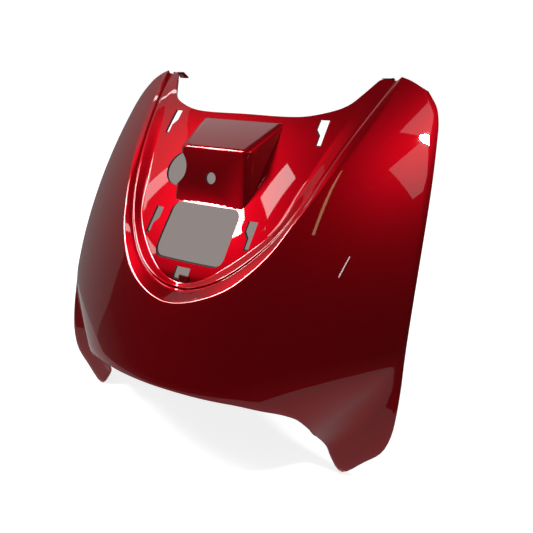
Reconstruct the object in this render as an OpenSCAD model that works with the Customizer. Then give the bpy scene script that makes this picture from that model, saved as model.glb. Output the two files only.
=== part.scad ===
// Front panel of a scooter's leg shield: one moulded shell with a sunken V-shaped field.
// It stands as it is fitted: +Z up, its face towards -Y, its middle plane at X = 0.
// The origin is the centre of the screw hole, on the front face of the box projection.
// Sizes below are measured from the foot tips: Z up from them, Y back from them.

/* [Panel] */
// Width over the two wings
panel_w = 400; // [380:1:430]
// Height of the ear tops above the foot tips
panel_h = 356.5; // [345:0.5:375]
// Thickness of the moulding
wall = 2.6; // [2:0.1:3.2]
// Lean of the wings' side edges at the feet, in degrees
wing_lean = 5.7; // [3:0.1:8]
// Extra lean that the side edges gain up to the ears
wing_sweep = 150; // [135:1:165]
// How much narrower the panel is at the ears than at the feet, each side
wing_taper = 22; // [14:1:30]
// How far the nose stands before the foot tips, at the arch
nose_out = 83; // [70:1:95]
// Lean of the nose line above the arch, in degrees
nose_lean = 24.2; // [18:0.1:28]
// Extra lean that the nose line gains up to the ears
nose_sweep = 92; // [80:1:105]
// Roundness of the nose across the panel
nose_crown = 1.8; // [1.6:0.05:2]

/* [Arch and feet] */
// Distance between the two foot tips
foot_gap = 316; // [300:1:330]
// Height of the wheel arch above the foot tips
arch_h = 108; // [98:1:116]
// Half width of the nose bulge at the height of the foot tips
bulge_w = 116; // [108:1:124]
// How fast the bulge widens upwards
bulge_flare = 0.70; // [0.6:0.01:0.8]
// Softness of the hollow between the bulge and a foot
bulge_blend = 22; // [12:1:30]
// Width of the band along the outer edge that rolls back
roll_w = 10; // [6:1:14]
// How far the outer edge rolls back
roll_d = 1.5; // [0.5:0.1:2.5]

/* [Neck and ears] */
// Height of the ear tops above the neck edge
ear_h = 35.5; // [31:0.5:40]
// Width of the step between the field's rim and its floor, at the ears
band_w = 18.5; // [16:0.5:21]

/* [Sunken field] */
// Half width of the rim at the ears
field_w = 139.5; // [131:0.5:148]
// From the lowest point of the rim up to the small square hole
field_gap = 11.3; // [10:0.1:13]
// Depth of the floor behind the rim at the field's lowest point, were it straight
field_depth = 7.27; // [5:0.01:10]
// Lean of the floor, in degrees
floor_lean = 45; // [42:0.5:48]
// Bow of the floor: rise for each square millimetre of offset from the middle
floor_bow = 0.0009; // [0.0004:0.0001:0.0014]
// Width of the groove round the field
groove_w = 3.6; // [2.4:0.1:5]
// Depth of that groove
groove_d = 2; // [1:0.1:3]

/* [Box projection] */
// Width of the box where it leaves the floor at the top
box_back_w = 95; // [88:1:98]
// Width of the box along its front top edge
box_front_w = 79; // [70:1:84]
// Width of the box at its foot
box_foot_w = 87; // [78:1:90]
// Distance between the neck edge and the end of the box's top
box_margin = 6; // [5:0.5:9]
// Height over which its top rises to the back
box_rise = 17; // [13:0.5:21]
// Height of its front face
box_h = 50; // [44:0.5:56]
// Lean of the front face, in degrees
box_lean = 15; // [8:1:20]
// Rounding of its top edges
box_round = 5; // [3.5:0.5:6]
// Rounding of its two upright edges
box_corner = 9; // [7:0.5:12]
// Diameter of the screw hole in the front face
screw_d = 11; // [8:0.5:14]
// Height of the screw hole above the foot of the box
screw_up = 21.8; // [17:0.1:28]

/* [Openings] */
// Width of the rounded window
window_w = 75.5; // [66:0.5:80]
// Height of the window, seen from the front
window_h = 43; // [36:0.5:48]
// Corner radius of the window
window_r = 8.5; // [4:0.5:12]
// Gap between the window and the foot of the box
window_gap = 2.5; // [2:0.1:4]
// Width of the small square hole
peg_w = 16; // [12:0.5:18]
// Height of the small square hole, seen from the front
peg_h = 10; // [8:0.5:12]
// Gap between the square hole and the window
peg_gap = 3.7; // [3:0.1:6]
// Width of the tab in the small square hole
tab_w = 8.5; // [5:0.5:10]
// Height of the tab
tab_h = 6.2; // [4:0.1:8]
// Diameter of the cable hole beside the box
cable_d = 35.5; // [30:0.5:39]
// Centre of the cable hole outside the side of the box
cable_out = 2.7; // [1:0.1:5]
// Height of the cable hole above the foot of the box
cable_up = 23.7; // [20:0.1:28]
// Upward tilt of the cable hole, in degrees
cable_tilt = 18; // [12:1:24]
// Length of a clip slot, seen from the front
slot_h = 20.5; // [16:0.5:23]
// Width of the wide end of a clip slot
slot_wide = 9.4; // [7:0.1:11]
// Width of the narrow end of a clip slot
slot_narrow = 4.8; // [4.2:0.1:6]
// Gap between the side of the box and an upper clip slot
upper_slot_gap = 32.3; // [28:0.1:36]
// Depth of the middle of the upper clip slots below the neck edge
upper_slot_drop = 12.4; // [11:0.1:17]
// Gap between the side of the window and a lower clip slot
lower_slot_gap = 9.85; // [7:0.05:11]
// Height of the lower clip slots above the middle of the window
lower_slot_up = 4.2; // [1:0.1:8]

/* [Ear lips] */
// Width of the return lip on top of each ear
lip_w = 11; // [8:0.5:12]
// Length of the lip, backwards from the ear
lip_l = 14; // [11:0.5:18]
// Length of its level top
lip_flat = 8; // [5:0.5:9]
// Height of the hook under it
lip_hook = 7; // [5:0.5:9]
// Turn of the lip towards the middle, in degrees
lip_turn = 25; // [15:1:35]
// Depth of the lip below the ear tops
lip_drop = 2.2; // [2:0.1:4]

/* [Hidden] */

rows = 40;
floor_cells = 6;
band_cells = 6;
wing_cells = 18;
cols = floor_cells + band_cells + wing_cells;

half_w = panel_w / 2;
tip_x = foot_gap / 2;
neck_w = field_w - band_w;
nose_h = panel_h - arch_h;

// The field hangs from the ear tops: neck edge, box, window, square hole and lowest point
// follow each other down the middle.
neck_z = panel_h - ear_h;
box_back_z = neck_z - box_margin;
box_top_z = box_back_z - box_rise;
box_foot_z = box_top_z - box_h;
screw_z = box_foot_z + screw_up;
window_z = box_foot_z - window_gap - window_h / 2;
peg_z = window_z - window_h / 2 - peg_gap - peg_h / 2;
field_z = peg_z - peg_h / 2 - field_gap;
// Height at which the rows of the skin meet in the middle of the floor
focus_z = field_z + 24;

// How strongly the side edges, the nose line and the taper of the sides bend
wing_bend = 2.24;
nose_bend = 3.55;
taper_bend = 1.8;
// Height at which the sides start to draw in
taper_z = 100;
// Height above the arch at which the bulge is as wide as the panel, and its softness there
bulge_up = 17;
bulge_soft = 16;
// The hollow beside the bulge fades from its softness to this one over these heights
edge_blend = 0.5;
blend_low = 60;
blend_high = 140;
// Length of a cutter that goes right through the floor
cut_l = 50;

// Smooth value between stations [place, ...]: a cubic through each of them. The height of
// an outline that ends on the middle plane runs level there.
function slope_at(p, i, k) =
    i == 0 ? (p[1][k] - p[0][k]) / (p[1][0] - p[0][0]) :
    i == len(p) - 1 ? (k == 2 && p[i][1] == 0 ? 0 : (p[i][k] - p[i - 1][k]) / (p[i][0] - p[i - 1][0])) :
    (p[i + 1][k] - p[i - 1][k]) / (p[i + 1][0] - p[i - 1][0]);
function segment(p, s, i = 0) = i >= len(p) - 2 || s < p[i + 1][0] ? i : segment(p, s, i + 1);
function along(p, s, k = 1) =
    let (i = segment(p, s), h = p[i + 1][0] - p[i][0], t = (s - p[i][0]) / h)
    (2 * t^3 - 3 * t^2 + 1) * p[i][k] + (t^3 - 2 * t^2 + t) * h * slope_at(p, i, k)
    + (3 * t^2 - 2 * t^3) * p[i + 1][k] + (t^3 - t^2) * h * slope_at(p, i + 1, k);
function point_at(p, s) = [along(p, s, 1), along(p, s, 2)];

// The smaller of two values, with a soft change-over of width k.
function soft_min(a, b, k) =
    let (h = min(1, max(0, 0.5 + 0.5 * (b - a) / k))) b * (1 - h) + a * h - k * h * (1 - h);
function mix(a, b, t) = a + (b - a) * t;

// The outer face as a depth y over x and z: the nose line in the middle, the side edges
// outside, and a bulge that is narrow at the foot tips and as wide as the panel above.
function wing_y(z) = z * tan(wing_lean) + wing_sweep * (max(z, 0) / panel_h)^wing_bend;
function nose_y(z) =
    -nose_out + (z - arch_h) * tan(nose_lean) + nose_sweep * (max(z - arch_h, 0) / nose_h)^nose_bend;
function side_x(z) = half_w - wing_taper * (max(z - taper_z, 0) / (panel_h - taper_z))^taper_bend;
function bulge_half(z) =
    z > arch_h + bulge_up ? side_x(z) : soft_min(bulge_w + bulge_flare * z, side_x(z), bulge_soft);
function blend(z) =
    mix(bulge_blend, edge_blend, min(1, max(0, (z - blend_low) / (blend_high - blend_low))));
function face_y(x, z) =
    soft_min(mix(nose_y(z), wing_y(z), (x / bulge_half(z))^nose_crown), wing_y(z), blend(z));

// The floor of the sunken field leans back from its lowest point. These height stations
// say how far it bows out of the straight line on the middle plane.
floor_shape = [[field_z + 6.5, 7], [field_z + 16.5, 2], [window_z - 6.6, -1.7], [window_z + 15, -1.8],
               [box_top_z + 1, -2.4], [neck_z, 0], [panel_h, 11]];
function floor_y(x, z) =
    nose_y(field_z) + field_depth + (z - field_z) * tan(floor_lean) + along(floor_shape, z) + floor_bow * x^2;

// The rim as [share of the way down, share of the field's width, share of its height].
rim_shape = [[0, 1, 1], [0.2, 0.955, 0.8464], [0.4, 0.864, 0.6676], [0.6, 0.7455, 0.4888],
             [0.7, 0.6595, 0.3603], [0.78, 0.566, 0.2263], [0.86, 0.4014, 0.095], [0.93, 0.2079, 0.0279],
             [1, 0, 0]];
rim_line = [for (p = rim_shape) [p[0], field_w * p[1], mix(field_z, panel_h, p[2])]];
// Groove and foot of the band, inwards and up from the rim's stations in shares of its
// width. The groove also has its depth behind the outer face.
groove_shape = [[0.24, -0.19, 5], [0.45, 0, 4], [0.46, 0.108, 4.5], [0.35, -0.108, 6], [0.35, -0.108, 6.5],
                [0.35, 0.162, 7], [0.324, 0.324, 7.5], [0.162, 0.297, 10], [0, 0.243, 15]];
foot_shape = [[1, -0.108], [1.2, 0.081], [1.19, 0.054], [1, -0.216], [0.838, -0.324], [0.838, 0.162],
              [0.811, 0.459], [0.459, 0.459], [0, 0.486]];
function inside(i, shape) =
    let (rim = rim_line[i], in = shape[i])
    [rim[0], rim[1] - band_w * in[0], rim[2] + band_w * in[1], in[2]];
groove_line = [for (i = [0:len(rim_line) - 1]) inside(i, groove_shape)];
foot_line = [for (i = [0:len(rim_line) - 1]) inside(i, foot_shape)];

// The outer edge as [share of the way down, x, z]: down from the ear, round the foot with
// its tip, and along the wheel arch to the middle.
edge_line = [[0, half_w - 34, panel_h - 12.5], [0.05, half_w - 22, panel_h - 28],
             [0.1, half_w - 16, panel_h - 47.5],
             [0.3, half_w - 7.3, panel_h - 120], [0.45, half_w - 1.5, arch_h + 20], [0.525, half_w - 0.7, 64],
             [0.55, half_w - 7, 38], [0.575, tip_x + 19, 19.5], [0.6, tip_x - 0.5, 0],
             [0.625, tip_x - 13, 12], [0.65, tip_x - 19.2, 27], [0.675, tip_x - 23, 48],
             [0.7, tip_x - 27.5, 64], [0.725, tip_x - 34, arch_h - 30], [0.75, tip_x - 43, arch_h - 22],
             [0.78, tip_x - 55, arch_h - 16.5], [0.86, tip_x - 88, arch_h - 7], [1, 0, arch_h]];
// The neck edge from the middle to the ear's inner corner, in shares of its width and height.
neck_shape = [[0, 0, 0], [0.45, 0.471, 0], [0.65, 0.678, 0.119], [0.82, 0.835, 0.328], [0.93, 0.927, 0.672],
              [1, 1, 1]];
neck_line = [for (p = neck_shape) [p[0], neck_w * p[1], mix(neck_z, foot_line[0][2], p[2])]];
// The top of the ear, from the rim out to the outer edge.
ear_line = [rim_line[0], [0.4, mix(field_w, edge_line[0][1], 0.4), panel_h - 3.9],
            [1, edge_line[0][1], edge_line[0][2]]];

// Points of the outer face, row by row down the field and column by column outwards.
function with_y(p, y) = [p.x, y, p.y];
function floor_point(s, t) =
    let (mid = [0, mix(neck_z, focus_z, s)],
         side = point_at(foot_line, s),
         neck = point_at(neck_line, t),
         pull = (1 - s)^4,
         p = mix(mid, side, t) + pull * (neck - mix([0, neck_z], point_at(foot_line, 0), t)))
    with_y(p, floor_y(p.x, p.y));

// The band steps up from the floor to the groove, with a raised lip on either side of it,
// and on to the rim.
function band_point(s, k) =
    let (inner = point_at(foot_line, s),
         mid = point_at(groove_line, s),
         outer = point_at(rim_line, s),
         side = (outer - inner) / norm(outer - inner) * groove_w / 2,
         depth = along(groove_line, s, 3),
         groove_y = face_y(mid.x, mid.y) + depth,
         slope_out = mix(mid, outer, 0.6))
    k == 1 ? with_y(mix(inner, mid, 0.5), mix(floor_y(inner.x, inner.y), groove_y, 0.45)) :
    k == 2 ? with_y(mid - side, groove_y + groove_d * 0.4) :
    k == 3 ? with_y(mid, groove_y + groove_d) :
    k == 4 ? with_y(mid + side, groove_y - groove_d * 0.2) :
    k == 5 ? with_y(slope_out, face_y(slope_out.x, slope_out.y) + depth * 0.38) :
    with_y(outer, face_y(outer.x, outer.y));

function wing_point(s, t) =
    let (inner = point_at(rim_line, s),
         outer = point_at(edge_line, s),
         pull = (1 - s)^6,
         p = mix(inner, outer, t)
             + pull * (point_at(ear_line, t) - mix(point_at(rim_line, 0), point_at(edge_line, 0), t)),
         roll = roll_d * max(0, 1 - norm(outer - p) / roll_w)^2)
    with_y(p, face_y(p.x, p.y) + roll);

function skin_point(i, j) =
    let (s = i / rows)
    j <= floor_cells ? floor_point(s, 1 - (1 - j / floor_cells)^1.4) :
    j <= floor_cells + band_cells ? band_point(s, j - floor_cells) :
    wing_point(s, 1 - (1 - (j - floor_cells - band_cells) / wing_cells)^1.15);

// Both skins of one half; the inner one lies one wall behind the outer one.
skin = [for (i = [0:rows]) [for (j = [0:cols]) skin_point(i, j)]];
function unit(v) = v / norm(v);
function on_middle(i, j) = j == 0 || i == rows;
// On the middle plane the normal is square to the line that both halves share.
function normal_at(i, j) =
    let (down = skin[min(i + 1, rows)][j] - skin[max(i - 1, 0)][j],
         out = skin[i][min(j + 1, cols)] - skin[i][max(j - 1, 0)],
         line = i == rows ? out : down,
         bend = skin[rows][1] - skin[rows - 1][0],
         shared = i == rows && j == 0 ? bend : line)
    on_middle(i, j) ? unit(cross([1, 0, 0], shared)) : unit(cross(out, down));
back_skin = [for (i = [0:rows]) [for (j = [0:cols]) skin[i][j] + wall * normal_at(i, j)]];

// Point numbers: right half first, then the mirrored left half; the middle is shared.
per_skin = (rows + 1) * (cols + 1);
function right_point(i, j, back) = back * per_skin + i * (cols + 1) + j;
function left_point(i, j, back) =
    on_middle(i, j) ? right_point(i, j, back) : 2 * per_skin + right_point(i, j, back);
function corner(i, j, back, left) = left == 1 ? left_point(i, j, back) : right_point(i, j, back);
function quad(a, b, c, d) = [[a, b, c], [a, c, d]];
function turned(faces, turn) = turn ? [for (f = faces) [f[2], f[1], f[0]]] : faces;
// A cell of either skin is cut in two along its shorter diagonal.
function straight_cut(i, j) =
    norm(skin[i + 1][j + 1] - skin[i][j]) < norm(skin[i + 1][j] - skin[i][j + 1]);
function cell(i, j, back, left) =
    let (a = corner(i, j, back, left), b = corner(i + 1, j, back, left),
         c = corner(i + 1, j + 1, back, left), d = corner(i, j + 1, back, left))
    straight_cut(i, j) ? quad(a, b, c, d) : quad(b, c, d, a);
function top_edge(j, left) =
    quad(corner(0, j, 0, left), corner(0, j + 1, 0, left), corner(0, j + 1, 1, left), corner(0, j, 1, left));
function side_edge(i, left) =
    quad(corner(i, cols, 0, left), corner(i + 1, cols, 0, left),
         corner(i + 1, cols, 1, left), corner(i, cols, 1, left));

module shell() {
    right = concat([for (r = skin) each r], [for (r = back_skin) each r]);
    points = concat(right, [for (p = right) [-p.x, p.y, p.z]]);
    faces = [for (left = [0, 1]) each concat(
        [for (i = [0:rows - 1]) for (j = [0:cols - 1]) each turned(cell(i, j, 0, left), left == 0)],
        [for (i = [0:rows - 1]) for (j = [0:cols - 1]) each turned(cell(i, j, 1, left), left == 1)],
        [for (j = [0:cols - 1]) each turned(top_edge(j, left), left == 0)],
        [for (i = [0:rows - 1]) each turned(side_edge(i, left), left == 0)])];
    polyhedron(points, faces);
}

// The box: a hollow projection of the floor, open behind. Its corners are rings, so its
// upright edges are rounder than its top ones.
function box_front_y(z) = floor_y(0, box_foot_z) + (z - box_foot_z) * tan(box_lean);
module box_corners(half, y, z, inset, m) {
    translate([m * (half - box_corner), y + box_corner, z])
        rotate_extrude($fn = 32)
            intersection() {
                translate([box_corner - box_round, 0])
                    circle(box_round - inset, $fn = 20);
                translate([0, -box_round])
                    square(2 * box_corner);
            }
}
module box_body(inset, reach) {
    low = box_foot_z - 12;
    high = box_top_z - box_round;
    back = box_back_z - box_round;
    hull()
        for (m = [-1, 1]) {
            box_corners(box_foot_w / 2, box_front_y(low), low, inset, m);
            box_corners(box_front_w / 2, box_front_y(high), high, inset, m);
            box_corners(box_back_w / 2, floor_y(0, back) + reach, back, inset, m);
            if (reach > 0) {
                box_corners(box_back_w / 2, floor_y(0, back), back, inset, m);
                box_corners(box_foot_w / 2, floor_y(0, low) + reach, low, inset, m);
            }
        }
}

// Everything in front of the back of the floor's wall, across the box.
module before_floor() {
    low = box_foot_z - 14;
    high = box_back_z + 4;
    back = [for (k = [0:6]) let (z = mix(low, high, k / 6)) [floor_y(0, z) + wall, z]];
    front = floor_y(0, low) - cut_l;
    rotate([90, 0, 90])
        linear_extrude(half_w, center = true)
            polygon(concat(back, [[front, high], [front, low]]));
}

module rounded_plate(w, h, r) {
    linear_extrude(cut_l, center = true)
        union() {
            square([w - 2 * r, h], center = true);
            square([w, h - 2 * r], center = true);
            for (mx = [-1, 1])
                for (mz = [-1, 1])
                    translate([mx * (w / 2 - r), mz * (h / 2 - r)])
                        circle(r, $fn = 48);
        }
}

// A cut straight through the floor from the front, centred at x and z.
module through(x, z) {
    translate([x, floor_y(x, z), z])
        rotate([90, 0, 0])
            children();
}

// A clip slot, wide above and narrow below, whose straight outer edge lies at x.
module clip_slot(x, z, side) {
    step = slot_wide - slot_narrow;
    throat = slot_h * 0.1;
    through(side * x, z)
        mirror([side > 0 ? 0 : 1, 0, 0])
            linear_extrude(cut_l, center = true)
                polygon([[0, slot_h / 2], [-slot_wide, slot_h / 2], [-slot_wide, throat],
                         [-slot_narrow, throat - step], [-slot_narrow, -slot_h / 2], [0, -slot_h / 2]]);
}

module openings() {
    through(0, window_z)
        rounded_plate(window_w, window_h, window_r);
    for (side = [-1, 1]) {
        clip_slot(box_back_w / 2 + upper_slot_gap + slot_wide, neck_z - upper_slot_drop, side);
        clip_slot(window_w / 2 + lower_slot_gap + slot_wide, window_z + lower_slot_up, side);
    }
    through(0, peg_z)
        cube([peg_w, peg_h, cut_l], center = true);
    translate([-box_foot_w / 2 - cable_out, floor_y(0, box_foot_z + cable_up), box_foot_z + cable_up])
        rotate([90 - cable_tilt, 0, 0])
            cylinder(d = cable_d, h = 2 * cut_l, center = true, $fn = 96);
    translate([0, box_front_y(screw_z), screw_z])
        rotate([90 - box_lean, 0, 0])
            cylinder(d = screw_d, h = 6 * wall, center = true, $fn = 64);
}

// The tab that stands in the small square hole, on its right-hand lower side. Its foot is
// one with the floor below and beside the hole.
module tab() {
    seat = 1.5;
    low = peg_z - peg_h / 2 - seat;
    translate([peg_w / 2 - tab_w, floor_y(0, low) + 0.2, low])
        cube([tab_w + 1, wall, tab_h]);
}

// A lip turned back from the top of an ear, between neck and groove: level at first, then
// sloping down to the point of a hook.
module ear_lip(side) {
    start = band_point(0, 1);
    profile = [[0, 0], [lip_flat, 0], [lip_l, wall / 2 - lip_hook], [lip_l, -lip_hook],
               [lip_l - 2 * wall, -lip_hook], [lip_l - 3 * wall, -wall], [0, -wall]];
    mirror([side > 0 ? 0 : 1, 0, 0])
        translate([start.x, start.y + wall * 0.7, panel_h - lip_drop])
            rotate([90, 0, 90 + lip_turn])
                linear_extrude(lip_w, center = true)
                    polygon(profile);
}

module front_panel() {
    color([0.62, 0.02, 0.04])
        translate([0, -box_front_y(screw_z), -screw_z])
            union() {
                difference() {
                    union() {
                        shell();
                        intersection() {
                            box_body(0, 0);
                            before_floor();
                        }
                    }
                    box_body(wall, cut_l);
                    openings();
                }
                tab();
                ear_lip(1);
                ear_lip(-1);
            }
}

front_panel();
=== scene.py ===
"""Front panel of a scooter's leg shield, painted metallic candy red, on a white ground.

The panel stands as it is fitted: +Z up, its face towards -Y, its middle plane at X = 0.
The panel's sizes are in millimetres from the foot tips, and to_row turns them into Blender's
metres from the screw hole. The studio's sizes are in metres.
"""

import math

import bmesh
import bpy
import numpy as np
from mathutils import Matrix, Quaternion, Vector


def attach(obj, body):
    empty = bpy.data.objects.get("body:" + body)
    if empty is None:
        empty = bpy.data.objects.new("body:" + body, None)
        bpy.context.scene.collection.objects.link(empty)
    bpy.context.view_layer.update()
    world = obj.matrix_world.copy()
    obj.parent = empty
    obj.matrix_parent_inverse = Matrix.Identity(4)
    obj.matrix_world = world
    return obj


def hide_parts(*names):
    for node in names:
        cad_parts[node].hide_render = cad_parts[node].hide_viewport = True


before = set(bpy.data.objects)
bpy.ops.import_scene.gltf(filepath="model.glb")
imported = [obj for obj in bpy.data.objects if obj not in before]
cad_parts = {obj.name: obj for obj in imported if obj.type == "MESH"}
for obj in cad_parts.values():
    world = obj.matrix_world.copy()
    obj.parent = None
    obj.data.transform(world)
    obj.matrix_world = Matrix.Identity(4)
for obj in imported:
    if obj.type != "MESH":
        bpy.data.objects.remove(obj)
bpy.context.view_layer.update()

MM = 0.001

# Driving sizes, in millimetres: the same as the part's

HALF_WIDTH = 200.0
HEIGHT = 356.5
WALL = 2.6
WING_LEAN = math.tan(math.radians(5.7))
WING_SWEEP = 150.0
WING_TAPER = 22.0
NOSE_OUT = 83.0
NOSE_LEAN = math.tan(math.radians(24.2))
NOSE_SWEEP = 92.0
NOSE_CROWN = 1.8
TIP_X = 158.0
ARCH_HEIGHT = 108.0
BULGE_HALF = 116.0
BULGE_FLARE = 0.70
BULGE_BLEND = 22.0
ROLL_WIDTH = 10.0
ROLL_DEPTH = 1.5

EAR_HEIGHT = 35.5
BAND_WIDTH = 18.5
FIELD_HALF = 139.5
FIELD_GAP = 11.3
FIELD_DEPTH = 7.27
FLOOR_BOW = 0.0009
GROOVE_WIDTH = 3.6
GROOVE_DEPTH = 2.0

BOX_BACK_HALF = 47.5
BOX_FRONT_HALF = 39.5
BOX_FOOT_HALF = 43.5
BOX_MARGIN = 6.0
BOX_RISE = 17.0
BOX_HEIGHT = 50.0
BOX_LEAN = math.radians(15)
BOX_ROUND = 5.0
BOX_CORNER = 9.0
SCREW_RADIUS = 5.5
SCREW_UP = 21.8

WINDOW_HALF = 37.75
WINDOW_HEIGHT = 43.0
WINDOW_ROUND = 8.5
WINDOW_GAP = 2.5
PEG_WIDTH = 16.0
PEG_HEIGHT = 10.0
PEG_GAP = 3.7
TAB_WIDTH = 8.5
TAB_HEIGHT = 6.2
CABLE_RADIUS = 17.75
CABLE_OUT = 2.7
CABLE_UP = 23.7
CABLE_TILT = math.radians(18)
SLOT_HEIGHT = 20.5
SLOT_WIDE = 9.4
SLOT_NARROW = 4.8
UPPER_SLOT_GAP = 32.3
UPPER_SLOT_DROP = 12.4
LOWER_SLOT_GAP = 9.85
LOWER_SLOT_UP = 4.2

LIP_WIDTH = 11.0
LIP_LENGTH = 14.0
LIP_FLAT = 8.0
LIP_HOOK = 7.0
LIP_TURN = math.radians(25)
LIP_DROP = 2.2

# Heights and places that follow from them, from the foot tips and the middle plane

NECK_Z = HEIGHT - EAR_HEIGHT
BOX_BACK_Z = NECK_Z - BOX_MARGIN
BOX_TOP_Z = BOX_BACK_Z - BOX_RISE
BOX_FOOT_Z = BOX_TOP_Z - BOX_HEIGHT
SCREW_Z = BOX_FOOT_Z + SCREW_UP
WINDOW_Z = BOX_FOOT_Z - WINDOW_GAP - WINDOW_HEIGHT / 2
PEG_Z = WINDOW_Z - WINDOW_HEIGHT / 2 - PEG_GAP - PEG_HEIGHT / 2
CABLE_X = -BOX_FOOT_HALF - CABLE_OUT
CABLE_Z = BOX_FOOT_Z + CABLE_UP
UPPER_SLOT = (BOX_BACK_HALF + UPPER_SLOT_GAP + SLOT_WIDE, NECK_Z - UPPER_SLOT_DROP)
LOWER_SLOT = (WINDOW_HALF + LOWER_SLOT_GAP + SLOT_WIDE, WINDOW_Z + LOWER_SLOT_UP)
FIELD_Z = PEG_Z - PEG_HEIGHT / 2 - FIELD_GAP
FOCUS_Z = FIELD_Z + 24.0

# How the face bends with height, and how softly its parts meet

WING_BEND = 2.24
NOSE_BEND = 3.55
TAPER_BEND = 1.8
TAPER_Z = 100.0
BULGE_SOFT = 16.0
EDGE_BLEND = 0.5
BLEND_LOW = 60.0
BLEND_HIGH = 140.0

# Cells of each half, and how much closer they lie towards the outer side

ROWS = 150
FLOOR_CELLS = 26
FLOOR_CROWD = 1.25
WING_CELLS = 76
WING_CROWD = 1.15

# Roundings across the band between floor and rim: radii and steps of its bends, front and back.
# Steps and bends add up to as many points on both sides.

BAND_RADII = (5.0, 1.4, 0.9, 1.2, 2.2)
BAND_STEPS = (6, 3, 3, 3, 5)
BACK_RADII = (6.0, 3.0, 2.5)
BACK_STEPS = (8, 7, 7)

# Cutters: front and back of the straight ones, lengths of the drills, depth of the slots and
# reach of the box's hollow. Roots: how far the box and the tab go on inside the wall.

WINDOW_CUT = (-50.0, 60.0)
PEG_CUT = (-50.0, 0.0)
CABLE_CUT = 100.0
SCREW_CUT = 6 * WALL
SLOT_CUT = 50.0
HOLLOW_REACH = 50.0
BOX_ROOT = 12.0
TAB_ROOT = 1.5
TAB_SIDE_ROOT = 1.0


# Curves and surfaces, in millimetres from the foot tips

def along(stations, place, column=1):
    """A cubic through the stations, whose first column is the place.

    The height of an outline that ends on the middle plane runs level there.
    """
    p = np.array(stations, float)
    x = p[:, 0]
    y = p[:, column]
    slope = np.zeros(len(x))
    slope[1:-1] = (y[2:] - y[:-2]) / (x[2:] - x[:-2])
    slope[0] = (y[1] - y[0]) / (x[1] - x[0])
    level = column == 2 and p[-1, 1] == 0
    slope[-1] = 0 if level else (y[-1] - y[-2]) / (x[-1] - x[-2])
    s = np.asarray(place, float)
    i = np.clip(np.searchsorted(x, s, side="right") - 1, 0, len(x) - 2)
    h = x[i + 1] - x[i]
    t = (s - x[i]) / h
    start = (2 * t**3 - 3 * t**2 + 1) * y[i] + (t**3 - 2 * t**2 + t) * h * slope[i]
    return start + (3 * t**2 - 2 * t**3) * y[i + 1] + (t**3 - t**2) * h * slope[i + 1]


def mix(a, b, share):
    """A value between two others."""
    return a + (b - a) * share


def soft_min(a, b, width):
    """The smaller of two values, with a soft change-over."""
    share = np.clip(0.5 + 0.5 * (b - a) / width, 0, 1)
    return b * (1 - share) + a * share - width * share * (1 - share)


def wing_depth(z):
    """Depth of the outer face at its side edges."""
    return z * WING_LEAN + WING_SWEEP * (np.maximum(z, 0) / HEIGHT)**WING_BEND


def nose_depth(z):
    """Depth of the outer face on the middle plane."""
    up = z - ARCH_HEIGHT
    share = np.maximum(up, 0) / (HEIGHT - ARCH_HEIGHT)
    return -NOSE_OUT + up * NOSE_LEAN + NOSE_SWEEP * share**NOSE_BEND


def bulge_half(z):
    """Half the width that the bulge reaches at a height."""
    side = HALF_WIDTH - WING_TAPER * (np.maximum(z - TAPER_Z, 0) / (HEIGHT - TAPER_Z))**TAPER_BEND
    return soft_min(BULGE_HALF + BULGE_FLARE * z, side, BULGE_SOFT)


def face_depth(x, z):
    """Depth of the outer face: nose line in the middle, side edges outside, a bulge below."""
    blend = mix(BULGE_BLEND, EDGE_BLEND, np.clip((z - BLEND_LOW) / (BLEND_HIGH - BLEND_LOW), 0, 1))
    nose = nose_depth(z)
    wing = wing_depth(z)
    return soft_min(nose + (wing - nose) * (np.abs(x) / bulge_half(z))**NOSE_CROWN, wing, blend)


FLOOR_SHAPE = [(FIELD_Z + 6.5, 7), (FIELD_Z + 16.5, 2), (WINDOW_Z - 6.6, -1.7), (WINDOW_Z + 15, -1.8),
               (BOX_TOP_Z + 1, -2.4), (NECK_Z, 0), (HEIGHT, 11)]


def floor_depth(x, z):
    """Depth of the sunken floor, which leans back by half a right angle and bows a little."""
    straight = float(nose_depth(FIELD_Z)) + FIELD_DEPTH + (z - FIELD_Z)
    return straight + along(FLOOR_SHAPE, z) + FLOOR_BOW * np.asarray(x)**2


# The rim as (share of the way down, share of the field's width, share of its height)
RIM_SHAPE = [(0, 1, 1), (0.2, 0.955, 0.8464), (0.4, 0.864, 0.6676), (0.6, 0.7455, 0.4888),
             (0.7, 0.6595, 0.3603), (0.78, 0.566, 0.2263), (0.86, 0.4014, 0.095),
             (0.93, 0.2079, 0.0279), (1, 0, 0)]
RIM_LINE = [(s, FIELD_HALF * x, mix(FIELD_Z, HEIGHT, z)) for s, x, z in RIM_SHAPE]
# Groove and foot of the step, inwards and up from the rim in shares of the step's width.
# The groove also has its depth behind the outer face.
GROOVE_SHAPE = [(0.24, -0.19, 5), (0.45, 0, 4), (0.46, 0.108, 4.5), (0.35, -0.108, 6), (0.35, -0.108, 6.5),
                (0.35, 0.162, 7), (0.324, 0.324, 7.5), (0.162, 0.297, 10), (0, 0.243, 15)]
FOOT_SHAPE = [(1, -0.108), (1.2, 0.081), (1.19, 0.054), (1, -0.216), (0.838, -0.324), (0.838, 0.162),
              (0.811, 0.459), (0.459, 0.459), (0, 0.486)]
GROOVE_LINE = [(rim[0], rim[1] - BAND_WIDTH * g[0], rim[2] + BAND_WIDTH * g[1], g[2])
               for rim, g in zip(RIM_LINE, GROOVE_SHAPE)]
FOOT_LINE = [(rim[0], rim[1] - BAND_WIDTH * g[0], rim[2] + BAND_WIDTH * g[1])
             for rim, g in zip(RIM_LINE, FOOT_SHAPE)]
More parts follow.
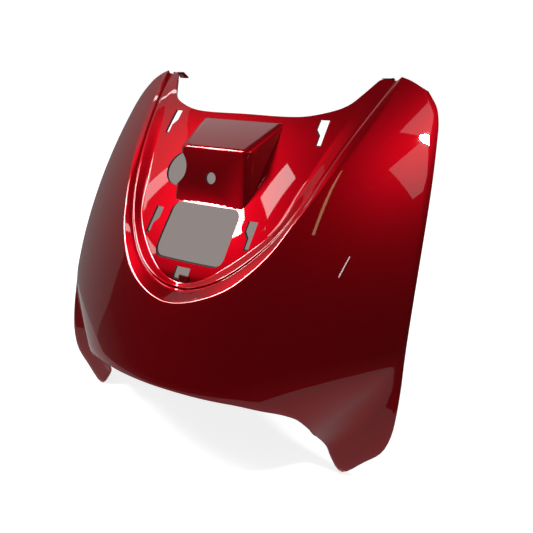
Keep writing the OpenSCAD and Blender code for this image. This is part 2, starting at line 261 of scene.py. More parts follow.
# The outer edge: down from the ear, round the foot with its tip, along the wheel arch
EDGE_LINE = [(0, HALF_WIDTH - 34, HEIGHT - 12.5), (0.05, HALF_WIDTH - 22, HEIGHT - 28),
             (0.1, HALF_WIDTH - 16, HEIGHT - 47.5), (0.3, HALF_WIDTH - 7.3, HEIGHT - 120),
             (0.45, HALF_WIDTH - 1.5, ARCH_HEIGHT + 20), (0.525, HALF_WIDTH - 0.7, 64),
             (0.55, HALF_WIDTH - 7, 38), (0.575, TIP_X + 19, 19.5), (0.6, TIP_X - 0.5, 0),
             (0.625, TIP_X - 13, 12), (0.65, TIP_X - 19.2, 27), (0.675, TIP_X - 23, 48),
             (0.7, TIP_X - 27.5, 64), (0.725, TIP_X - 34, ARCH_HEIGHT - 30),
             (0.75, TIP_X - 43, ARCH_HEIGHT - 22), (0.78, TIP_X - 55, ARCH_HEIGHT - 16.5),
             (0.86, TIP_X - 88, ARCH_HEIGHT - 7), (1, 0, ARCH_HEIGHT)]
NECK_SHAPE = [(0, 0, 0), (0.45, 0.471, 0), (0.65, 0.678, 0.119), (0.82, 0.835, 0.328), (0.93, 0.927, 0.672),
              (1, 1, 1)]
NECK_LINE = [(t, FOOT_LINE[0][1] * x, mix(NECK_Z, FOOT_LINE[0][2], z)) for t, x, z in NECK_SHAPE]
EAR_LINE = [RIM_LINE[0], (0.4, mix(FIELD_HALF, EDGE_LINE[0][1], 0.4), HEIGHT - 3.9), (1, *EDGE_LINE[0][1:])]


def outline(stations, s):
    """Points (x, z) of an outline at the shares s."""
    return np.stack([along(stations, s, 1), along(stations, s, 2)], axis=-1)


def lifted(points, depth):
    """Points (x, z) with their depth, as (x, depth, z)."""
    return np.stack([points[..., 0], depth, points[..., 1]], axis=-1)


def floor_skin(s):
    """The sunken floor, in rows from the neck to the lowest point of the field."""
    t = (1 - (1 - np.linspace(0, 1, FLOOR_CELLS + 1))**FLOOR_CROWD)[None, :, None]
    side = outline(FOOT_LINE, s)[:, None, :]
    middle = np.stack([0 * s, NECK_Z + (FOCUS_Z - NECK_Z) * s], axis=-1)[:, None, :]
    neck = outline(NECK_LINE, t[0, :, 0])[None, :, :]
    straight = np.array([0, NECK_Z]) * (1 - t) + outline(FOOT_LINE, np.array([0.0]))[None, :, :] * t
    points = middle * (1 - t) + side * t + ((1 - s)**4)[:, None, None] * (neck - straight)
    return lifted(points, floor_depth(points[..., 0], points[..., 1]))


def wing_skin(s):
    """The outer face, in rows from the rim of the field to the edge, which rolls back."""
    t = (1 - (1 - np.linspace(0, 1, WING_CELLS + 1))**WING_CROWD)[None, :, None]
    inner = outline(RIM_LINE, s)[:, None, :]
    outer = outline(EDGE_LINE, s)[:, None, :]
    ear = outline(EAR_LINE, t[0, :, 0])[None, :, :]
    start = outline(RIM_LINE, np.array([0.0]))[None, :, :]
    end = outline(EDGE_LINE, np.array([0.0]))[None, :, :]
    bow = ear - start * (1 - t) - end * t
    points = inner * (1 - t) + outer * t + ((1 - s)**6)[:, None, None] * bow
    near = np.maximum(0, 1 - np.linalg.norm(outer - points, axis=-1) / ROLL_WIDTH)
    return lifted(points, face_depth(points[..., 0], points[..., 1]) + ROLL_DEPTH * near**2)


def rounded(corners, radii, steps):
    """A path through the corners (each an array of points), with every inner corner rounded.

    No rounding takes more than about half of a side.
    """
    most = 0.46
    path = []
    for k in range(1, len(corners) - 1):
        here = corners[k]
        before = corners[k - 1] - here
        after = corners[k + 1] - here
        cut_in = np.minimum(radii[k - 1] / np.linalg.norm(before, axis=-1), most)[:, None]
        cut_out = np.minimum(radii[k - 1] / np.linalg.norm(after, axis=-1), most)[:, None]
        a = here + before * cut_in
        b = here + after * cut_out
        for u in np.linspace(0, 1, steps[k - 1] + 1):
            path.append((1 - u)**2 * a + 2 * u * (1 - u) * here + u**2 * b)
    return path


def band_skin(s, floor_side, wing_side):
    """The step from the floor over the groove to the rim, with soft corners."""
    foot = outline(FOOT_LINE, s)
    groove = outline(GROOVE_LINE, s)
    rim = outline(RIM_LINE, s)
    out = (rim - foot) / np.linalg.norm(rim - foot, axis=-1)[:, None]
    depth = along(GROOVE_LINE, s, 3)
    groove_y = face_depth(groove[:, 0], groove[:, 1]) + depth
    half = GROOVE_WIDTH / 2
    corners = [
        floor_side,
        lifted(foot, floor_depth(foot[:, 0], foot[:, 1])),
        lifted(groove - out * half, groove_y + GROOVE_DEPTH * 0.4),
        lifted(groove, groove_y + GROOVE_DEPTH),
        lifted(groove + out * half, groove_y - GROOVE_DEPTH * 0.2),
        lifted(rim, face_depth(rim[:, 0], rim[:, 1])),
        wing_side,
    ]
    return rounded(corners, BAND_RADII, BAND_STEPS)


def backward(x, z, depth_of):
    """Unit normals, turned to the back, of a face whose depth is a function of place."""
    step = 0.05
    across = (depth_of(x + step, z) - depth_of(x - step, z)) / (2 * step)
    up = (depth_of(x, z + step) - depth_of(x, z - step)) / (2 * step)
    n = np.stack([-across, np.ones_like(across), -up], axis=-1)
    return n / np.linalg.norm(n, axis=-1)[..., None]


def band_back(s, floor_side, wing_side):
    """The plain back of the band: its three bends, one wall behind the front ones."""
    foot = outline(FOOT_LINE, s)
    groove = outline(GROOVE_LINE, s)
    rim = outline(RIM_LINE, s)
    depth = along(GROOVE_LINE, s, 3)
    path = [
        floor_side,
        lifted(foot, floor_depth(foot[:, 0], foot[:, 1])),
        lifted(groove, face_depth(groove[:, 0], groove[:, 1]) + depth + GROOVE_DEPTH),
        lifted(rim, face_depth(rim[:, 0], rim[:, 1])),
        wing_side,
    ]
    down = np.gradient(path[2], axis=0)
    down[-1] = [-1, 0, 0]
    normals = []
    for before, after in zip(path[:-1], path[1:]):
        n = np.cross(after - before, down)
        normals.append(n / np.linalg.norm(n, axis=-1)[:, None])
    moved = [floor_side + WALL * normals[0]]
    for k in range(1, 4):
        both = normals[k - 1] + normals[k]
        share = 1 + np.sum(normals[k - 1] * normals[k], axis=-1)
        moved.append(path[k] + WALL * both / share[:, None])
    moved.append(wing_side + WALL * normals[3])
    return rounded(moved, BACK_RADII, BACK_STEPS)


def half_skins():
    """Outer and inner face of one half, as rows of points from the middle plane to the edge."""
    s = np.linspace(0, 1, ROWS + 1)
    floor = floor_skin(s)
    wing = wing_skin(s)
    band = band_skin(s, floor[:, -3], wing[:, 2])
    band_b = band_back(s, floor[:, -3], wing[:, 2])
    floor_b = floor + WALL * backward(floor[..., 0], floor[..., 2], floor_depth)
    wing_b = wing + WALL * backward(wing[..., 0], wing[..., 2], face_depth)
    skins = []
    for inner, middle, outer in ((floor, band, wing), (floor_b, band_b, wing_b)):
        columns = [inner[:, :-2]] + [c[:, None, :] for c in middle] + [outer[:, 2:]]
        skin = np.concatenate(columns, axis=1)
        skin[:, 0, 0] = 0
        skin[-1, :, 0] = 0
        skins.append(skin)
    return skins


def to_row(points):
    """Millimetres from the foot tips to metres from the screw hole."""
    face = float(floor_depth(0, BOX_FOOT_Z)) + (SCREW_Z - BOX_FOOT_Z) * math.tan(BOX_LEAN)
    return (np.asarray(points, float) - [0, face, SCREW_Z]) * MM


# Node trees

class Socket:
    """A value in a node tree, so that its maths can be written as Python expressions."""

    def __init__(self, tree, link):
        self.tree = tree
        self.link = link

    def _math(self, operation, *values):
        node = self.tree.nodes.new("ShaderNodeMath")
        node.operation = operation
        for slot, value in zip(node.inputs, values):
            if isinstance(value, Socket):
                self.tree.links.new(value.link, slot)
            else:
                slot.default_value = value
        return Socket(self.tree, node.outputs[0])

    def __add__(self, other):
        return self._math("ADD", self, other)

    __radd__ = __add__

    def __mul__(self, other):
        return self._math("MULTIPLY", self, other)

    __rmul__ = __mul__

    def __sub__(self, other):
        return self._math("SUBTRACT", self, other)

    def __rsub__(self, other):
        return self._math("SUBTRACT", other, self)

    def clamped(self):
        """The value, held between nought and one."""
        total = self._math("ADD", self, 0.0)
        total.link.node.use_clamp = True
        return total


class Nodes:
    """A node tree under construction."""

    def __init__(self, tree):
        self.tree = tree
        self.tree.nodes.clear()

    def node(self, kind, settings=None, sockets=None):
        """Adds a node: its settings first, then the values or links of its sockets.

        A socket is named by its name or its number, and the node is given back.
        """
        node = self.tree.nodes.new(kind)
        for name, value in (settings or {}).items():
            setattr(node, name, value)
        for name, value in (sockets or {}).items():
            for one in value if isinstance(value, list) else [value]:
                if isinstance(one, Socket):
                    self.tree.links.new(one.link, node.inputs[name])
                else:
                    node.inputs[name].default_value = one
        return node

    def out(self, node, name=0):
        """An output of a node, by its name or number."""
        return Socket(self.tree, node.outputs[name])

    def made(self, kind, settings=None, sockets=None, output=0):
        """The output of a new node."""
        return self.out(self.node(kind, settings, sockets), output)

    def seen(self):
        """One for camera, glossy and transmission rays, nought for the rest."""
        path = self.node("ShaderNodeLightPath")
        rays = [self.out(path, name) for name in ("Is Camera Ray", "Is Glossy Ray", "Is Transmission Ray")]
        return (rays[0] + rays[1] + rays[2]).clamped()


class Finish(Nodes):
    """A material under construction."""

    def __init__(self, name):
        self.material = bpy.data.materials.new(name)
        self.material.use_nodes = True
        super().__init__(self.material.node_tree)

    def finish(self, shader):
        """The material, once its shader is joined to the output."""
        self.node("ShaderNodeOutputMaterial", None, {"Surface": shader})
        return self.material


# Building solids

PAINT_FACE = 0
BARE_FACE = 1


def new_object(name, points, faces, face_material=None):
    """A mesh object in the scene, from its points and the corners of its faces."""
    mesh = bpy.data.meshes.new(name)
    mesh.from_pydata([tuple(p) for p in points], [], [tuple(f) for f in faces])
    if face_material is not None:
        mesh.polygons.foreach_set("material_index", face_material)
    obj = bpy.data.objects.new(name, mesh)
    bpy.context.scene.collection.objects.link(obj)
    return obj


def tidy(obj, recalculate=True):
    """Drops unused points and turns every face outwards."""
    bm = bmesh.new()
    bm.from_mesh(obj.data)
    bmesh.ops.delete(bm, geom=[v for v in bm.verts if not v.link_faces], context="VERTS")
    if recalculate:
        bmesh.ops.recalc_face_normals(bm, faces=bm.faces)
    bm.to_mesh(obj.data)
    bm.free()
    return obj


def make_shell():
    """The moulded shell: both skins of both halves, closed along every edge."""
    front, back = half_skins()
    rows, cols = front.shape[0] - 1, front.shape[1] - 1
    count = (rows + 1) * (cols + 1)
    right = np.concatenate([front.reshape(-1, 3), back.reshape(-1, 3)])
    points = np.concatenate([right, right * [-1, 1, 1]])
    faces = []
    material = []
    for half in (0, 1):
        grids = []
        for skin in (0, 1):
            grid = np.arange(count).reshape(rows + 1, cols + 1) + skin * count
            mirrored = grid + 2 * count
            mirrored[:, 0] = grid[:, 0]
            mirrored[-1, :] = grid[-1, :]
            grids.append(mirrored if half else grid)
        for skin, grid in enumerate(grids):
            quads = np.stack([grid[:-1, :-1], grid[1:, :-1], grid[1:, 1:], grid[:-1, 1:]], axis=-1)
            corner = quads[-1, 0]
            kept = quads.reshape(-1, 4).tolist()
            kept.remove(corner.tolist())
            kept += [[corner[0], corner[1], corner[3]], [corner[1], corner[2], corner[3]]]
            faces += kept
            material += [BARE_FACE if skin else PAINT_FACE] * len(kept)
        outer = [g[:, -1] for g in grids]
        upper = [g[0, :] for g in grids]
        for a, b in (outer, upper):
            strip = np.stack([a[:-1], a[1:], b[1:], b[:-1]], axis=-1).tolist()
            faces += strip
            material += [PAINT_FACE] * len(strip)
    return tidy(new_object("shell", to_row(points), faces, material))


def merged_copy(obj):
    """The object's mesh with its modifiers applied and none left."""
    graph = bpy.context.evaluated_depsgraph_get()
    mesh = bpy.data.meshes.new_from_object(obj.evaluated_get(graph))
    obj.modifiers.clear()
    obj.data = mesh
    return obj


def combine(body, other, operation):
    """Joins, cuts or intersects body with other, which is used up."""
    step = body.modifiers.new("combine", "BOOLEAN")
    step.operation = operation
    step.solver = "MANIFOLD"
    step.object = other
    merged_copy(body)
    bpy.data.objects.remove(other)
    return body


def soft_edges(body, width, segments, angle=38):
    """Rounds the sharp edges, as the mould leaves them."""
    bevel = body.modifiers.new("edges", "BEVEL")
    bevel.width = width * MM
    bevel.segments = segments
    bevel.limit_method = "ANGLE"
    bevel.angle_limit = math.radians(angle)
    bevel.use_clamp_overlap = False
    bevel.harden_normals = False
    return merged_copy(body)


def loop_faces(n):
    """Faces of a solid between two loops of n points, the second after the first."""
    sides = [(k, (k + 1) % n, n + (k + 1) % n, n + k) for k in range(n)]
    return [tuple(range(n)), tuple(range(n, 2 * n))] + sides


def block(name, low, high):
    """A plain block between two corners, in millimetres from the foot tips."""
    corners = [(x, y, z) for x in (low[0], high[0]) for y in (low[1], high[1]) for z in (low[2], high[2])]
    faces = [(0, 1, 3, 2), (4, 6, 7, 5), (0, 4, 5, 1), (2, 3, 7, 6), (0, 2, 6, 4), (1, 5, 7, 3)]
    return tidy(new_object(name, to_row(corners), faces))


def prism(name, shape, near, far):
    """A straight prism along Y whose outline holds (x, z) points."""
    n = len(shape)
    points = [(x, near, z) for x, z in shape] + [(x, far, z) for x, z in shape]
    return tidy(new_object(name, to_row(points), loop_faces(n)))


def drill(name, centre, lean, radius, length, sides):
    """A cylinder whose axis points forwards and leans up by an angle."""
    axis = np.array([0, -math.cos(lean), math.sin(lean)])
    up = np.array([0, math.sin(lean), math.cos(lean)])
    turns = np.linspace(0, 2 * math.pi, sides, endpoint=False)
    ring = [radius * (math.cos(a) * np.array([1, 0, 0]) + math.sin(a) * up) for a in turns]
    points = [np.array(centre) - axis * length / 2 + r for r in ring]
    points += [np.array(centre) + axis * length / 2 + r for r in ring]
    return tidy(new_object(name, to_row(points), loop_faces(sides)))


def box_front(z):
    """Depth of the box's front face, which leans back from the floor."""
    return float(floor_depth(0, BOX_FOOT_Z)) + (z - BOX_FOOT_Z) * math.tan(BOX_LEAN)


def box_corner_ring(half, y, z, inset, side):
    """Points of a flat ring: one rounded corner of the box."""
    reach = BOX_CORNER - BOX_ROUND
    r = BOX_ROUND - inset
    points = []
    for b in np.linspace(0, 2 * math.pi, 48, endpoint=False):
        for a in np.linspace(-math.pi / 2, math.pi / 2, 13):
            out = reach + r * math.cos(a)
            points.append((side * (half - BOX_CORNER) + out * math.cos(b),
                           y + BOX_CORNER + out * math.sin(b), z + r * math.sin(a)))
    return points


def box_body(name, inset, reach):
    """The box as a hull over its rounded corners; reach opens it to the back."""
    low = BOX_FOOT_Z - BOX_ROOT
    high = BOX_TOP_Z - BOX_ROUND
    back = BOX_BACK_Z - BOX_ROUND
    rear = float(floor_depth(0, back))
    points = []
    for side in (-1, 1):
        points += box_corner_ring(BOX_FOOT_HALF, box_front(low), low, inset, side)
        points += box_corner_ring(BOX_FRONT_HALF, box_front(high), high, inset, side)
        points += box_corner_ring(BOX_BACK_HALF, rear + reach, back, inset, side)
        if reach:
            points += box_corner_ring(BOX_BACK_HALF, rear, back, inset, side)
            points += box_corner_ring(BOX_FOOT_HALF, float(floor_depth(0, low)) + reach, low, inset, side)
    bm = bmesh.new()
    verts = [bm.verts.new(p) for p in to_row(points)]
    bmesh.ops.convex_hull(bm, input=verts)
    bmesh.ops.delete(bm, geom=[v for v in bm.verts if not v.link_faces], context="VERTS")
    bmesh.ops.recalc_face_normals(bm, faces=bm.faces)
    mesh = bpy.data.meshes.new(name)
    bm.to_mesh(mesh)
    bm.free()
    obj = bpy.data.objects.new(name, mesh)
    bpy.context.scene.collection.objects.link(obj)
    return obj


def before_floor():
    """The room in front of the middle of the floor's wall, across the box."""
    in_front = -20
    beside = 90
    heights = np.linspace(BOX_FOOT_Z - 16, BOX_BACK_Z + 6, 24)
    depths = floor_depth(0, heights) + WALL
    outline_yz = list(zip(depths, heights)) + [(in_front, heights[-1]), (in_front, heights[0])]
    n = len(outline_yz)
    points = [(x, y, z) for x in (-beside, beside) for y, z in outline_yz]
    return tidy(new_object("before_floor", to_row(points), loop_faces(n)))


def rounded_rectangle(half_x, half_z, radius, middle_z, steps=10):
    """The outline of a rounded rectangle about the middle plane, as (x, z) points."""
    shape = []
    for k, (mx, mz) in enumerate(((1, 1), (-1, 1), (-1, -1), (1, -1))):
        for a in np.linspace(0, math.pi / 2, steps) + k * math.pi / 2:
            shape.append((mx * (half_x - radius) + radius * math.cos(a),
                          middle_z + mz * (half_z - radius) + radius * math.sin(a)))
    return shape


def clip_slot():
    """A slot cutter, wide above and narrow below, one metre deep, about the middle of its outer edge."""
    step = SLOT_WIDE - SLOT_NARROW
    half = SLOT_HEIGHT / 2
    throat = SLOT_HEIGHT * 0.1
    shape = [(0, half), (-SLOT_WIDE, half), (-SLOT_WIDE, throat), (-SLOT_NARROW, throat - step),
             (-SLOT_NARROW, -half), (0, -half)]
    n = len(shape)
    points = [(x * MM, y, z * MM) for y in (-0.5, 0.5) for x, z in shape]
    return tidy(new_object("clip_slots", points, loop_faces(n)))


def repeat_slots(slot, upper, lower, depth, plastic):
    """Puts the slot above and below, mirrors both, and makes one plain mesh of the four."""
    tree = bpy.data.node_groups.new("clip_slots", "GeometryNodeTree")
    kinds = {"Geometry": "Geometry", "Upper place": "Vector", "Lower place": "Vector", "Depth": "Float",
             "Plastic": "Material"}
    for name, kind in kinds.items():
        tree.interface.new_socket(name, in_out="INPUT", socket_type="NodeSocket" + kind)
    tree.interface.new_socket("Geometry", in_out="OUTPUT", socket_type="NodeSocketGeometry")
    g = Nodes(tree)
    given = g.node("NodeGroupInput")
    thickness = g.made("ShaderNodeCombineXYZ", None, {"X": 1.0, "Y": g.out(given, "Depth"), "Z": 1.0})
    one = g.made("GeometryNodeTransform", None, {"Geometry": g.out(given, "Geometry"), "Scale": thickness})
    places = g.made("GeometryNodeMeshLine", {"mode": "END_POINTS"}, {
        "Count": 2,
        "Start Location": g.out(given, "Upper place"),
        "Offset": g.out(given, "Lower place"),
    })
    pair = g.made("GeometryNodeInstanceOnPoints", None, {"Points": places, "Instance": one})
    right = g.made("GeometryNodeRealizeInstances", None, {0: pair})
    turned = g.made("GeometryNodeTransform", None, {"Geometry": right, "Scale": (-1, 1, 1)})
    left = g.made("GeometryNodeFlipFaces", None, {"Mesh": turned})
    all_four = g.made("GeometryNodeJoinGeometry", None, {0: [right, left]})
    solid = g.made("GeometryNodeRealizeInstances", None, {0: all_four})
    bare = g.made("GeometryNodeSetMaterial", None, {"Geometry": solid, "Material": g.out(given, "Plastic")})
    g.node("NodeGroupOutput", None, {0: bare})
    step = slot.modifiers.new("clip_slots", "NODES")
    step.node_group = tree
    wanted = {"Upper place": upper, "Lower place": lower, "Depth": depth, "Plastic": plastic}
    for item in tree.interface.items_tree:
        if item.in_out == "INPUT" and item.name in wanted:
            step[item.identifier] = wanted[item.name]
    return merged_copy(slot)


def make_openings(plastic):
    """Every hole of the floor and the box, as cutters."""
    window = rounded_rectangle(WINDOW_HALF, WINDOW_HEIGHT / 2, WINDOW_ROUND, WINDOW_Z)
    cutters = [prism("window", window, *WINDOW_CUT)]
    places = [to_row((x, float(floor_depth(x, z)), z)).tolist() for x, z in (UPPER_SLOT, LOWER_SLOT)]
    cutters.append(repeat_slots(clip_slot(), *places, SLOT_CUT * MM, plastic))
    half = PEG_WIDTH / 2
    low = PEG_Z - PEG_HEIGHT / 2
    high = PEG_Z + PEG_HEIGHT / 2
    cutters.append(prism("square_hole", [(-half, low), (half, low), (half, high), (-half, high)], *PEG_CUT))
    cable = (CABLE_X, float(floor_depth(0, CABLE_Z)), CABLE_Z)
    cutters.append(drill("cable_hole", cable, CABLE_TILT, CABLE_RADIUS, CABLE_CUT, 96))
    screw = (0, box_front(SCREW_Z), SCREW_Z)
    cutters.append(drill("screw_hole", screw, BOX_LEAN, SCREW_RADIUS, SCREW_CUT, 48))
    return cutters


def make_tab():
    """The tab in the square hole, one with the floor below and beside it."""
    low = PEG_Z - PEG_HEIGHT / 2 - TAB_ROOT
    front = float(floor_depth(0, low)) + 0.2
    left = PEG_WIDTH / 2 - TAB_WIDTH
    right = left + TAB_WIDTH + TAB_SIDE_ROOT
    return block("tab", (left, front, low), (right, front + WALL, low + TAB_HEIGHT))


def make_lip(side):
    """The lip turned back from the top of an ear: level at first, then down to a hook."""
    profile = [(0, 0), (LIP_FLAT, 0), (LIP_LENGTH, WALL / 2 - LIP_HOOK), (LIP_LENGTH, -LIP_HOOK),
               (LIP_LENGTH - 2 * WALL, -LIP_HOOK), (LIP_LENGTH - 3 * WALL, -WALL), (0, -WALL)]
    foot = FOOT_LINE[0]
    groove = GROOVE_LINE[0]
    x = (foot[1] + groove[1]) / 2
    groove_y = float(face_depth(groove[1], groove[2])) + groove[3]
    y = mix(float(floor_depth(foot[1], foot[2])), groove_y, 0.45) + WALL * 0.7
    points = []
    for w in (-LIP_WIDTH / 2, LIP_WIDTH / 2):
        for back, up in profile:
            points.append((side * (x + w * math.cos(LIP_TURN) - back * math.sin(LIP_TURN)),
                           y + w * math.sin(LIP_TURN) + back * math.cos(LIP_TURN), HEIGHT - LIP_DROP + up))
    n = len(profile)
    return tidy(new_object("lip", to_row(points), loop_faces(n)))


def bare_faced(cutter, paint, plastic):
    """Gives a cutter bare faces, so that the walls it leaves show the plastic itself."""
    cutter.data.materials.clear()
    cutter.data.materials.append(paint)
    cutter.data.materials.append(plastic)
    cutter.data.polygons.foreach_set("material_index", [BARE_FACE] * len(cutter.data.polygons))
    return cutter


def make_panel(paint, plastic):
    """The whole moulding in one closed mesh."""
    body = make_shell()
    body.data.materials.append(paint)
    body.data.materials.append(plastic)
    soft_edges(body, 0.8, 3, 60)
    box = combine(box_body("box", 0, 0), before_floor(), "INTERSECT")
    combine(body, box, "UNION")
    for cutter in [box_body("box_hollow", WALL, HOLLOW_REACH)] + make_openings(plastic):
        combine(body, bare_faced(cutter, paint, plastic), "DIFFERENCE")
    combine(body, make_tab(), "UNION")
    for side in (-1, 1):
        combine(body, make_lip(side), "UNION")
    body.name = "painted_panel"
    return body


# Materials

def candy_paint():
    """Deep metallic red under clear coat, with fine flakes and a faint orange peel."""
    f = Finish("candy_red_paint")
    place = f.made("ShaderNodeTexCoord", None, None, "Object")
    flake = f.made("ShaderNodeTexVoronoi", {"feature": "F1"}, {"Vector": place, "Scale": 2600.0}, "Distance")
    cloud = f.made("ShaderNodeTexNoise", None, {"Vector": place, "Scale": 9.0, "Detail": 3.0})
    red = f.made("ShaderNodeMix", {"data_type": "RGBA"}, {
        "Factor": (cloud * 0.7 + flake * 0.3).clamped(),
        "A": (0.29, 0.0, 0.004, 1),
        "B": (0.37, 0.0005, 0.006, 1),
    }, "Result")
    peel = f.made("ShaderNodeTexNoise", None, {"Vector": place, "Scale": 260.0, "Detail": 1.0})
    return f.finish(f.made("ShaderNodeBsdfPrincipled", None, {
        "Base Color": red,
        "Metallic": 0.88,
        "Roughness": 0.45 + flake * 0.06,
        "Specular IOR Level": 0.0,
        "Coat Weight": 1.0,
        "Coat Roughness": 0.02,
        "Coat IOR": 1.55,
        "Normal": f.made("ShaderNodeBump", None, {"Strength": 0.04, "Distance": 0.0004, "Height": peel}),
    }))


def bare_plastic():
    """The unpainted back: dull dark plastic, with thin red overspray."""
    f = Finish("bare_moulded_plastic")
    place = f.made("ShaderNodeTexCoord", None, None, "Object")
    grain = f.made("ShaderNodeTexNoise", None, {"Vector": place, "Scale": 900.0, "Detail": 2.0})
    spray = f.made("ShaderNodeTexNoise", None, {"Vector": place, "Scale": 14.0, "Detail": 4.0})
    colour = f.made("ShaderNodeMix", {"data_type": "RGBA"}, {
        "Factor": (spray * 2.4 - 1.0).clamped(),
        "A": (0.022, 0.020, 0.021, 1),
        "B": (0.060, 0.012, 0.014, 1),
    }, "Result")
    return f.finish(f.made("ShaderNodeBsdfPrincipled", None, {
        "Base Color": colour,
        "Roughness": 0.5 + grain * 0.15,
        "Normal": f.made("ShaderNodeBump", None, {"Strength": 0.15, "Distance": 0.0003, "Height": grain}),
    }))


def dull(name, shade):
    """A dull grey for the walls of the room."""
    f = Finish(name)
    grey = (shade, shade, shade, 1)
    return f.finish(f.made("ShaderNodeBsdfPrincipled", None, {"Base Color": grey, "Roughness": 0.9}))


def glowing(name, radiance, colour=(1, 1, 1)):
    """A surface with a light of its own, the same whatever lamps shine on it."""
    f = Finish(name)
    return f.finish(f.made("ShaderNodeEmission", None, {"Color": (*colour, 1), "Strength": radiance}))


def white_ground():
    """White ground that keeps the panel's soft shadow and lights the panel like paper."""
    f = Finish("white_ground")
    glow = f.made("ShaderNodeEmission", None, {"Color": (1, 1, 1, 1), "Strength": GROUND_GLOW})
    paper = f.made("ShaderNodeBsdfPrincipled", None, {"Base Color": (0.62, 0.62, 0.62, 1), "Roughness": 1.0})
    sharp = f.made("ShaderNodeAddShader", None, {0: glow, 1: paper})
    rest = f.made("ShaderNodeBsdfPrincipled", None, {"Base Color": (0.8, 0.8, 0.8, 1), "Roughness": 1.0})
    return f.finish(f.made("ShaderNodeMixShader", None, {0: f.seen(), 1: rest, 2: sharp}))


def dress_panel():
    """The panel in its finishes, shown in the place of the CAD part."""
    panel = make_panel(candy_paint(), bare_plastic())
    panel.data.shade_smooth()
    panel.data.set_sharp_from_angle(angle=math.radians(32))
    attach(panel, "root")
    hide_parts("front_panel")
    return panel


# Studio

# Sizes in metres, turns in degrees from the front towards +X

FLOOR_Z = float(to_row((0, 0, 0))[2]) - 0.0005
ROOM_RADIUS = 2.4
ROOM_TOP = 2.6
DIM_WALL_TOP = 0.95
FRONT_CORNER = -78
SIDE_CORNER = -130
BACK_CORNER = -170
GROUND_REACH = 30
GROUND_NEAR = 0.45
GROUND_GLOW = 0.7
CARPET_LIFT = 0.004
# Lift and corners of the grey sheet of painted shade on the ground behind the panel
PAINTED_SHADE_LIFT = 0.002
PAINTED_SHADE_CORNERS = ((-1.1104, 1.2183), (-0.6905, 1.4321), (-0.098, 0.2916), (-0.2847, 0.1965))
SKY_LIGHT = 0.4


def direction(turn, rise):
    """A unit vector: turn from the front towards +X, and rise, both in degrees."""
    t = math.radians(turn)
    e = math.radians(rise)
    return Vector((math.sin(t) * math.cos(e), -math.cos(t) * math.cos(e), math.sin(e)))


def hang_lamp(name, turn, rise, distance, width, height, radiance, shape="RECTANGLE", tilt=0):
    """A lamp like a window that faces the panel, seen from it in the direction (turn, rise)."""
    data = bpy.data.lights.new(name, "AREA")
    data.shape = shape
    data.size = width
    data.size_y = height
    fill = math.pi / 4 if shape == "ELLIPSE" else 1
    data.energy = radiance * math.pi * width * height * fill
    obj = bpy.data.objects.new(name, data)
    bpy.context.scene.collection.objects.link(obj)
    obj.location = direction(turn, rise) * distance
    facing = (-obj.location).to_track_quat("-Z", "Y")
    obj.rotation_euler = (facing @ Quaternion((0, 0, 1), math.radians(tilt))).to_euler()
    obj.visible_camera = False
    return data


def reflected_only(obj, material):
    """A part of the room that shows in reflections alone."""
    obj.data.materials.append(material)
    obj.visible_camera = False
    obj.visible_diffuse = False
    obj.visible_shadow = False


def arc(first, last, radius, height):
    """Points on a level arc about the panel between two turns, with one about every 6 degrees."""
    turns = np.radians(np.linspace(first, last, 2 + int(abs(last - first) / 6)))
    return [(radius * math.sin(a), -radius * math.cos(a), height) for a in turns]


def between(name, lower, upper, material):
    """A strip of the room between two arcs, which have as many points."""
    n = len(lower)
    faces = [(k, k + 1, n + k + 1, n + k) for k in range(n - 1)]
    reflected_only(new_object(name, lower + upper, faces), material)


def wall(name, first, last, low, high, material):
    """A stretch of the round room, between two turns and two heights."""
    between(name, arc(first, last, ROOM_RADIUS, low), arc(first, last, ROOM_RADIUS, high), material)


def carpet(name, first, last, near, far, material):
    """A part of the ground as reflections show it, between two turns and two distances."""
    height = FLOOR_Z + CARPET_LIFT
    between(name, arc(first, last, near, height), arc(first, last, far, height), material)


def lay_ground():
    """The white ground, and on it a grey glowing sheet of painted shade that stands for the shaded floor
    behind the panel and shows through the panel's openings.
    """
    far = GROUND_REACH
    corners = [(x, y, FLOOR_Z) for x, y in ((-far, -far), (far, -far), (far, far), (-far, far))]
    ground = new_object("ground", corners, [(0, 1, 2, 3)])
    ground.data.materials.append(white_ground())
    # Painted shade: a grey sheet that glows stands for the floor in shade behind the panel. Only the camera
    # sees it, through the openings.
    mat = new_object("painted_shade_sheet", [(x, y, FLOOR_Z + PAINTED_SHADE_LIFT) for x, y in PAINTED_SHADE_CORNERS], [(0, 1, 2, 3)])
    mat.data.materials.append(glowing("painted_floor_shade", 0.28, (1.0, 0.86, 0.83)))
    mat.visible_glossy = False
    mat.visible_diffuse = False


def build_room():
    """A dark room with a pale far end, which the clear coat mirrors."""
    dark = dull("dark_wall", 0.02)
    wall("front_wall", FRONT_CORNER, BACK_CORNER + 360, FLOOR_Z, ROOM_TOP, dark)
    wall("left_wall_low", SIDE_CORNER, FRONT_CORNER, FLOOR_Z, DIM_WALL_TOP, glowing("dim_wall", 0.2))
    wall("left_wall_high", SIDE_CORNER, FRONT_CORNER, DIM_WALL_TOP, ROOM_TOP, glowing("dim_wall_high", 0.3))
    wall("back_wall", BACK_CORNER, SIDE_CORNER, FLOOR_Z, ROOM_TOP, glowing("pale_wall", 0.67))
    carpet("near_ground", -180, 180, 0, GROUND_NEAR, glowing("pale_ground", 0.4))
    carpet("front_carpet", FRONT_CORNER, 180, GROUND_NEAR, ROOM_RADIUS, dark)
    carpet("left_carpet", -180, FRONT_CORNER, GROUND_NEAR, ROOM_RADIUS, glowing("dim_carpet", 0.2))
    sides = 48
    turns = np.linspace(0, 2 * math.pi, sides, endpoint=False)
    ring = [(ROOM_RADIUS * math.cos(a), ROOM_RADIUS * math.sin(a), ROOM_TOP) for a in turns]
    reflected_only(new_object("ceiling", ring, [tuple(range(sides))]), dark)


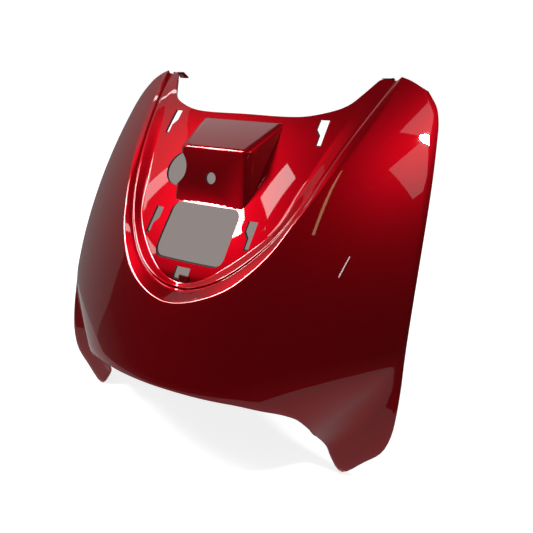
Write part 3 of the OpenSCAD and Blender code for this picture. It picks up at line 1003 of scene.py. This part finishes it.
def hang_lamps():
    """Lamps and bright panes: turn and rise in degrees, then distance, width, height and radiance."""
    hang_lamp("main_lamp", -57, 52, 2.2, 0.555, 0.555, 35)
    hang_lamp("front_lamp", -39, 66, 2.2, 0.16, 0.28, 6)
    hang_lamp("side_lamp", -77, 40, 2.2, 0.10, 0.24, 3.5)
    hang_lamp("low_pane", -60, 33, 2.2, 0.26, 0.16, 4)
    hang_lamp("left_window", -110, 41, 2.1, 0.03, 0.4, 6)
    hang_lamp("right_pane_near", 89, 42, 2.1, 0.34, 0.5, 1.2)
    hang_lamp("right_pane_far", 104, 52, 2.1, 0.34, 0.4, 1.2)
    hang_lamp("right_lamp", 97, 47.5, 2.0, 0.055, 0.2, 460, "ELLIPSE")
    hang_lamp("slit", 56, 25, 2.0, 0.012, 0.24, 12, tilt=-40)
    beam = hang_lamp("beam", 53, 50, 2.0, 0.036, 0.86, 3.6, tilt=-30)
    beam.color = (1.0, 0.72, 0.38)


def make_sky():
    """Soft light from all round, and plain white where the camera looks past the ground."""
    world = bpy.data.worlds.new("soft_room")
    bpy.context.scene.world = world
    world.use_nodes = True
    sky = Nodes(world.node_tree)
    room = sky.made("ShaderNodeBackground", None, {"Color": (1, 1, 1, 1), "Strength": SKY_LIGHT})
    white = sky.made("ShaderNodeBackground", None, {"Color": (1, 1, 1, 1), "Strength": 1.0})
    both = sky.made("ShaderNodeMixShader", None, {0: sky.seen(), 1: room, 2: white})
    sky.node("ShaderNodeOutputWorld", None, {"Surface": both})


# Camera, with its place in millimetres from the foot tips

CAMERA_PLACE = (257.4, -358.6, 386.9)
CAMERA_TURN = math.radians(26.98)
CAMERA_DROP = math.radians(24.18)
LENS_TO_FRAME = 500 / 533
SENSOR = 36.0


def make_camera():
    """The camera at the photo's own point of view, sharp at every distance."""
    data = bpy.data.cameras.new("camera")
    data.sensor_width = SENSOR
    data.lens = SENSOR * LENS_TO_FRAME
    data.clip_start = 0.01
    data.clip_end = 100
    data.dof.use_dof = False
    cam = bpy.data.objects.new("camera", data)
    bpy.context.scene.collection.objects.link(cam)
    level = math.cos(CAMERA_DROP)
    ahead = Vector((-math.sin(CAMERA_TURN) * level, math.cos(CAMERA_TURN) * level,
                    -math.sin(CAMERA_DROP)))
    cam.location = to_row(CAMERA_PLACE)
    cam.rotation_euler = ahead.to_track_quat("-Z", "Y").to_euler()
    bpy.context.scene.camera = cam


make_camera()
dress_panel()
lay_ground()
build_room()
hang_lamps()
make_sky()
bpy.context.scene.view_settings.view_transform = "Standard"
